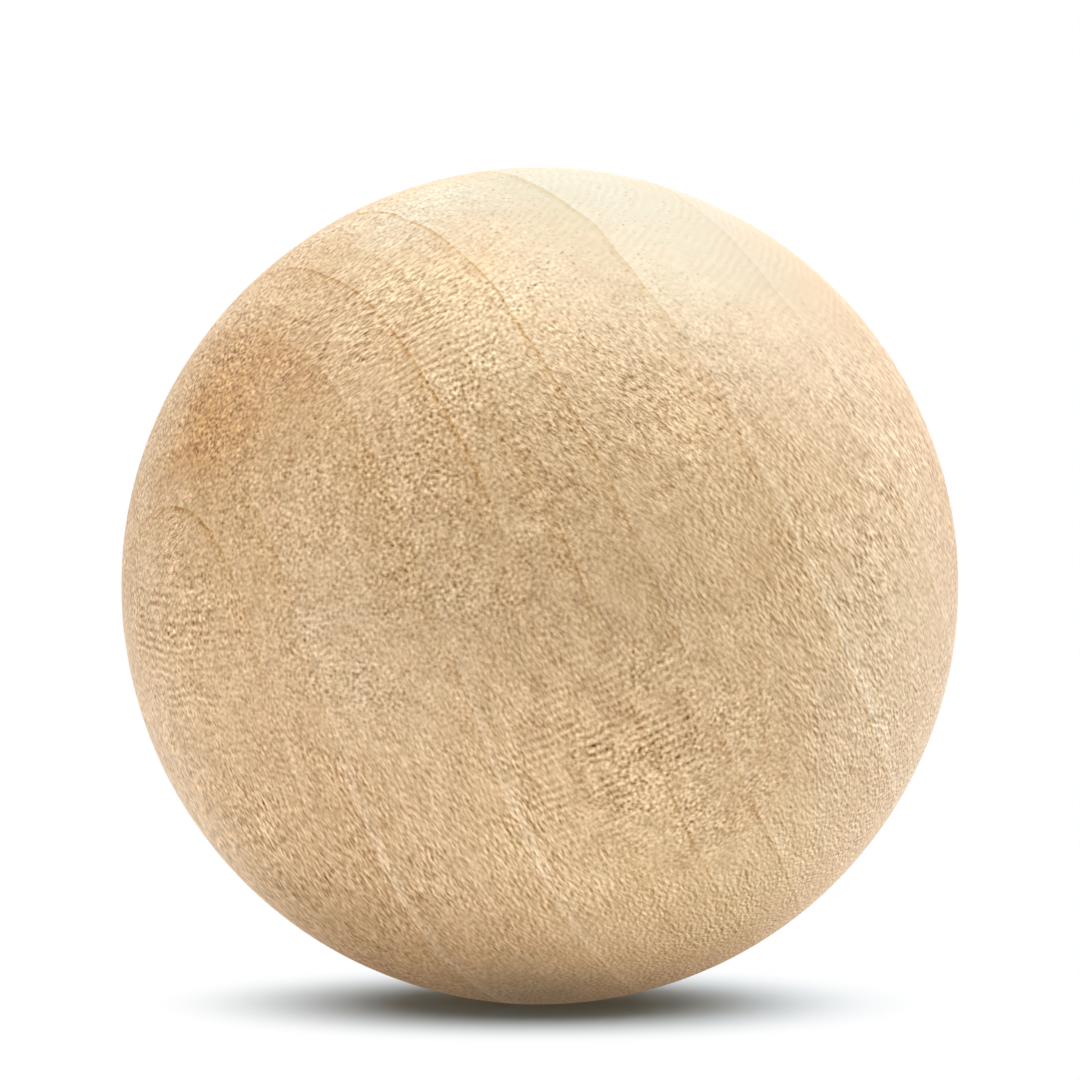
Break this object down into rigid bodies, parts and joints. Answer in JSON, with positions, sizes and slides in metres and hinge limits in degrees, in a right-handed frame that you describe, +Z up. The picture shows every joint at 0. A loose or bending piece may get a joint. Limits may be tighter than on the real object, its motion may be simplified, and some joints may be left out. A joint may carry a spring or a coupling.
{
  "type": "wooden ball",
  "caption": "Solid round ball turned from pale close-grained hardwood and sanded smooth, for craft, game and furniture parts.",
  "frame": {"origin": "centre of the ball", "axes": "+Z up; the ball is the same about every axis through its centre, and the end grain faces up, forward and to the left, towards -X -Y +Z"},
  "size_m": [0.03, 0.03, 0.03],
  "materials": {
    "wood": "bare, sanded smooth, matte"
  },
  "bodies": {
    "root": {"ball": "wood"}
  },
  "joints": []
}
